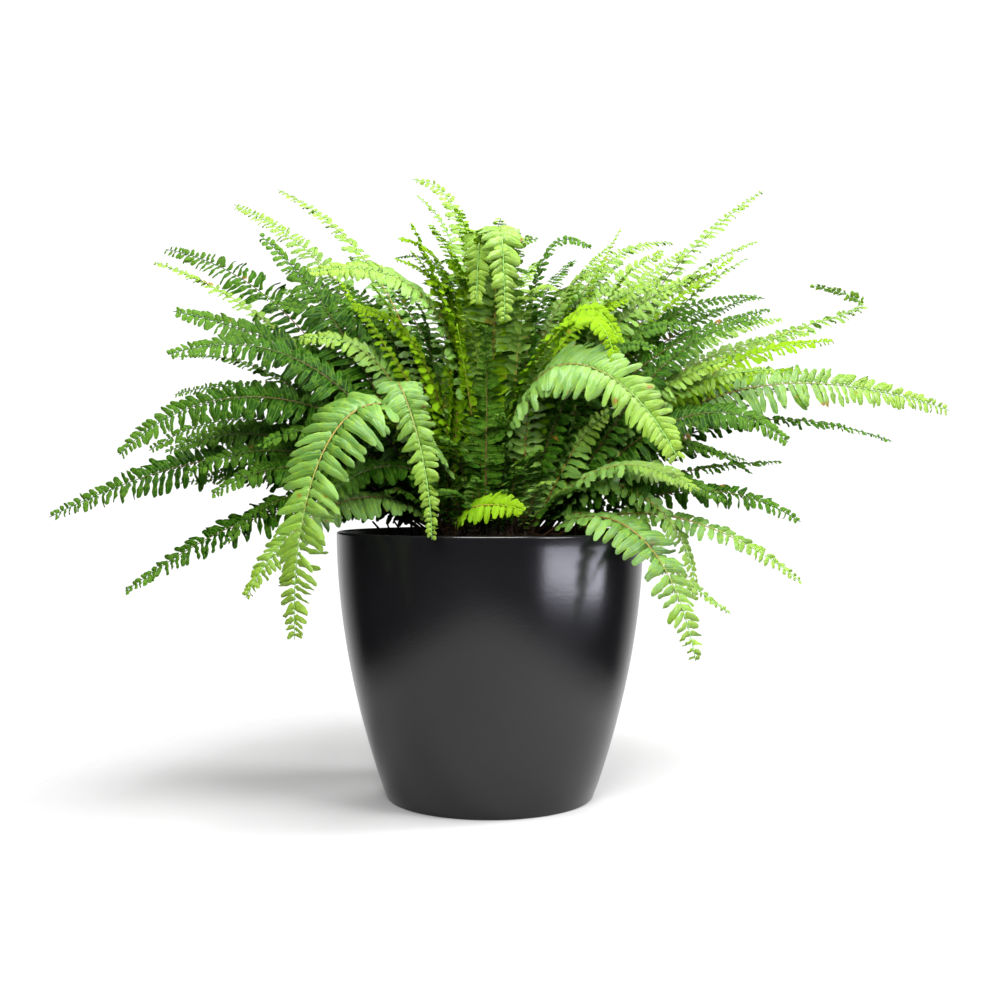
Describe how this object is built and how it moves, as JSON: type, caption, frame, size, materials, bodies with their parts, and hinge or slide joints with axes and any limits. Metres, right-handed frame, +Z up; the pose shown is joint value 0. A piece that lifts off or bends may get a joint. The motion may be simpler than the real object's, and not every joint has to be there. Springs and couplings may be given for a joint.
{
  "type": "potted boston fern",
  "caption": "Boston fern with arching, densely leafleted fronds that rise from the soil of a round, tapering, glossy black planter.",
  "frame": {"origin": "the middle of the planter's foot, on the surface that it stands on", "axes": "+Z up, -Y towards the camera of the picture, +X to the right of it, along the fern's widest spread"},
  "size_m": [0.8293, 0.5285, 0.606],
  "materials": {
    "pot": "satin gloss, black, with a fine orange peel",
    "soil": "matte, dark brown peat crumb",
    "mature": "satin, dark green leaf",
    "grown": "satin, mid green leaf",
    "young": "satin, yellow green leaf"
  },
  "bodies": {
    "root": {"pot": "pot", "soil": "soil", "frond_left_low_1": "mature", "frond_left_low_2": "mature", "frond_left_low_3": "grown", "frond_left_mid_1": "mature", "frond_left_mid_2": "mature", "frond_left_mid_3": "mature", "frond_left_mid_4": "mature", "frond_left_mid_5": "mature", "frond_left_high_1": "grown", "frond_left_high_2": "mature", "frond_left_high_3": "mature", "frond_left_high_4": "grown", "frond_left_high_5": "grown", "frond_left_high_6": "grown", "frond_left_high_7": "young", "frond_front_left_1": "grown", "frond_front_left_2": "mature", "frond_front_left_3": "grown", "frond_front_mid_1": "young", "frond_front_mid_2": "grown", "frond_front_mid_3": "mature", "frond_front_mid_4": "mature", "frond_front_mid_5": "mature", "frond_top_1": "young", "frond_top_2": "grown", "frond_top_3": "mature", "frond_top_4": "grown", "frond_top_5": "mature", "frond_top_6": "young", "frond_right_high_1": "grown", "frond_right_high_2": "grown", "frond_right_high_3": "grown", "frond_right_high_4": "mature", "frond_right_high_5": "young", "frond_right_high_6": "young", "frond_right_mid_1": "grown", "frond_right_mid_2": "young", "frond_right_mid_3": "grown", "frond_right_mid_4": "mature", "frond_right_mid_5": "mature", "frond_front_right_1": "grown", "frond_front_right_2": "grown", "frond_front_right_3": "grown", "frond_right_low_1": "mature", "frond_right_low_2": "grown", "frond_back_1": "mature", "frond_back_2": "mature", "frond_back_3": "grown", "frond_back_4": "mature", "frond_back_5": "grown", "frond_back_6": "mature", "frond_back_7": "grown", "frond_back_8": "mature", "frond_back_9": "mature", "frond_back_10": "grown", "frond_back_11": "mature", "frond_back_12": "grown", "frond_back_13": "grown"}
  },
  "joints": []
}
